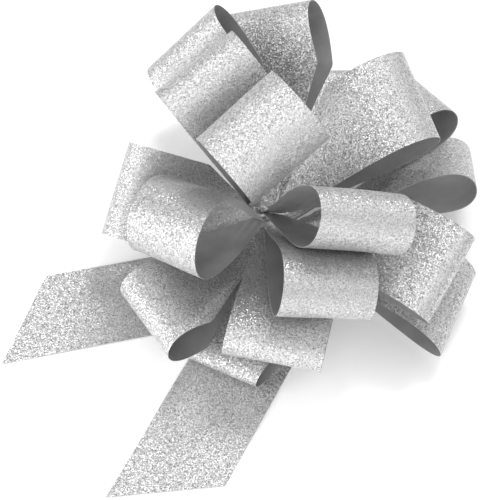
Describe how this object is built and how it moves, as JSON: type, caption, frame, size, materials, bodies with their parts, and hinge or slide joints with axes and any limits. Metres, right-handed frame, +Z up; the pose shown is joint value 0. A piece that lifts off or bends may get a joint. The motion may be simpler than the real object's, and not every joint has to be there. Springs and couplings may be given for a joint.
{
  "type": "gift bow",
  "caption": "Gathered ribbon gift bow with glittering silver loops, two slant-cut tails, welded necks and inner pull ribbons.",
  "frame": {"origin": "on the table under the top neck, on the bottom face of the base neck", "axes": "+Z up from the table; -Y towards the side the front tail lies on, +X to the right of it"},
  "size_m": [0.2486, 0.273, 0.1358],
  "materials": {
    "silver_ribbon": "silver glitter outside, satin inside",
    "welded_neck": "heat welded ribbon",
    "pull_ribbon": "satin"
  },
  "bodies": {
    "stack": {"base_neck": "welded_neck", "neck_02": "welded_neck", "neck_03": "welded_neck", "neck_04": "welded_neck", "neck_05": "welded_neck", "neck_06": "welded_neck", "neck_07": "welded_neck", "neck_08": "welded_neck", "neck_09": "welded_neck", "neck_10": "welded_neck", "pull_knot": "pull_ribbon", "pull_ribbon_1": "pull_ribbon", "pull_ribbon_2": "pull_ribbon"},
    "low_loop_front_left_body": {"low_loop_front_left": "silver_ribbon"},
    "low_loop_front_right_body": {"low_loop_front_right": "silver_ribbon"},
    "low_loop_right_body": {"low_loop_right": "silver_ribbon"},
    "low_loop_right_rear_body": {"low_loop_right_rear": "silver_ribbon"},
    "low_loop_rear_left_body": {"low_loop_rear_left": "silver_ribbon"},
    "low_loop_rear_body": {"low_loop_rear": "silver_ribbon"},
    "low_loop_left_body": {"low_loop_left": "silver_ribbon"},
    "middle_loop_front_body": {"middle_loop_front": "silver_ribbon"},
    "middle_loop_front_right_body": {"middle_loop_front_right": "silver_ribbon"},
    "middle_loop_right_body": {"middle_loop_right": "silver_ribbon"},
    "middle_loop_rear_body": {"middle_loop_rear": "silver_ribbon"},
    "middle_loop_rear_left_body": {"middle_loop_rear_left": "silver_ribbon"},
    "middle_loop_left_body": {"middle_loop_left": "silver_ribbon"},
    "top_loop_rear_left_body": {"top_loop_rear_left": "silver_ribbon"},
    "top_loop_centre_body": {"top_loop_centre": "silver_ribbon"},
    "top_loop_right_body": {"top_loop_right": "silver_ribbon"},
    "top_loop_left_body": {"top_loop_left": "silver_ribbon"},
    "top_loop_front_body": {"top_loop_front": "silver_ribbon"},
    "left_tail_body": {"left_tail": "silver_ribbon"},
    "front_tail_body": {"front_tail": "silver_ribbon"}
  },
  "joints": [
    {"name": "low_loop_front_left_flex", "type": "hinge", "parent": "stack", "child": "low_loop_front_left_body", "pos_m": [0.00761, -0.005, 0.00352], "axis": [-0.0232, -0.0476, -0.9986], "range_deg": [-4, 6], "stiffness_Nm_per_rad": 0.06},
    {"name": "low_loop_front_right_flex", "type": "hinge", "parent": "stack", "child": "low_loop_front_right_body", "pos_m": [0.01495, -0.00408, 0.00414], "axis": [0.2056, 0.0776, -0.9756], "range_deg": [-1.3, 3], "stiffness_Nm_per_rad": 0.06},
    {"name": "low_loop_right_flex", "type": "hinge", "parent": "stack", "child": "low_loop_right_body", "pos_m": [0.01382, 0.00027, 0.00875], "axis": [0.2821, -0.4583, -0.8429], "range_deg": [-1, 2], "stiffness_Nm_per_rad": 0.06},
    {"name": "low_loop_right_rear_flex", "type": "hinge", "parent": "stack", "child": "low_loop_right_rear_body", "pos_m": [0.01222, 0.00241, 0.01062], "axis": [0.8421, 0.4477, 0.3007], "range_deg": [-3.5, 1.7], "stiffness_Nm_per_rad": 0.06},
    {"name": "low_loop_rear_left_flex", "type": "hinge", "parent": "stack", "child": "low_loop_rear_left_body", "pos_m": [0.00498, 0.00532, 0.00886], "axis": [0.829, 0.5592, 0], "range_deg": [-6, 6], "stiffness_Nm_per_rad": 0.06},
    {"name": "low_loop_rear_flex", "type": "hinge", "parent": "stack", "child": "low_loop_rear_body", "pos_m": [0.01164, 0.00595, 0.00363], "axis": [0.0037, -0.105, 0.9945], "range_deg": [-0.3, 6], "stiffness_Nm_per_rad": 0.06},
    {"name": "low_loop_left_flex", "type": "hinge", "parent": "stack", "child": "low_loop_left_body", "pos_m": [0.00289, -0.00391, 0.00941], "axis": [-0.1384, -0.1628, -0.9769], "range_deg": [-1.6, 1.1], "stiffness_Nm_per_rad": 0.06},
    {"name": "middle_loop_front_flex", "type": "hinge", "parent": "stack", "child": "middle_loop_front_body", "pos_m": [0.00179, -0.00598, 0.01824], "axis": [0.9739, -0.2081, -0.0904], "range_deg": [0, 2.9], "stiffness_Nm_per_rad": 0.06},
    {"name": "middle_loop_front_right_flex", "type": "hinge", "parent": "stack", "child": "middle_loop_front_right_body", "pos_m": [0.01045, -0.00391, 0.01201], "axis": [0.4408, 0.1268, -0.8886], "range_deg": [-6, 1.7], "stiffness_Nm_per_rad": 0.06},
    {"name": "middle_loop_right_flex", "type": "hinge", "parent": "stack", "child": "middle_loop_right_body", "pos_m": [0.00717, 0.00104, 0.01986], "axis": [0.3125, 0.4899, -0.8139], "range_deg": [-2.9, 6], "stiffness_Nm_per_rad": 0.06},
    {"name": "middle_loop_rear_flex", "type": "hinge", "parent": "stack", "child": "middle_loop_rear_body", "pos_m": [0.00347, 0.00591, 0.01792], "axis": [-0.3874, -0.5657, 0.728], "range_deg": [-2.9, 6], "stiffness_Nm_per_rad": 0.06},
    {"name": "middle_loop_rear_left_flex", "type": "hinge", "parent": "stack", "child": "middle_loop_rear_left_body", "pos_m": [-0.00294, 0.00512, 0.02316], "axis": [-0.2025, -0.7913, 0.577], "range_deg": [-0.9, 2.6], "stiffness_Nm_per_rad": 0.06},
    {"name": "middle_loop_left_flex", "type": "hinge", "parent": "stack", "child": "middle_loop_left_body", "pos_m": [-0.00078, 0.00027, 0.01318], "axis": [0.264, -0.6535, 0.7094], "range_deg": [-0.7, 2.9], "stiffness_Nm_per_rad": 0.06},
    {"name": "top_loop_rear_left_flex", "type": "hinge", "parent": "stack", "child": "top_loop_rear_left_body", "pos_m": [-0.00345, 0.00115, 0.02763], "axis": [0.3688, -0.8597, 0.3535], "range_deg": [-2.9, 6], "stiffness_Nm_per_rad": 0.06},
    {"name": "top_loop_centre_flex", "type": "hinge", "parent": "stack", "child": "top_loop_centre_body", "pos_m": [-0.00338, -0.00345, 0.03316], "axis": [0.7549, 0.5374, 0.3759], "range_deg": [-6, 2.8], "stiffness_Nm_per_rad": 0.06},
    {"name": "top_loop_right_flex", "type": "hinge", "parent": "stack", "child": "top_loop_right_body", "pos_m": [0.00194, -0.0038, 0.02658], "axis": [-0.091, -0.7846, -0.6133], "range_deg": [-0.9, 4.2], "stiffness_Nm_per_rad": 0.06},
    {"name": "top_loop_left_flex", "type": "hinge", "parent": "stack", "child": "top_loop_left_body", "pos_m": [-0.00083, -0.006, 0.0237], "axis": [-0.3596, -0.6764, 0.6428], "range_deg": [-2.1, 0.9], "stiffness_Nm_per_rad": 0.06},
    {"name": "top_loop_front_flex", "type": "hinge", "parent": "stack", "child": "top_loop_front_body", "pos_m": [0.00353, -0.0055, 0.02007], "axis": [-0.1929, -0.4931, -0.8483], "range_deg": [-0.6, 6], "stiffness_Nm_per_rad": 0.06},
    {"name": "left_tail_swivel", "type": "hinge", "parent": "stack", "child": "left_tail_body", "pos_m": [-0.00585, -0.00135, 0.00143], "axis": [0, 0, 1], "range_deg": [-20, 4.9]},
    {"name": "front_tail_swivel", "type": "hinge", "parent": "stack", "child": "front_tail_body", "pos_m": [-0.00258, -0.00542, 0.00182], "axis": [0, 0, 1], "range_deg": [-4.9, 20]}
  ]
}
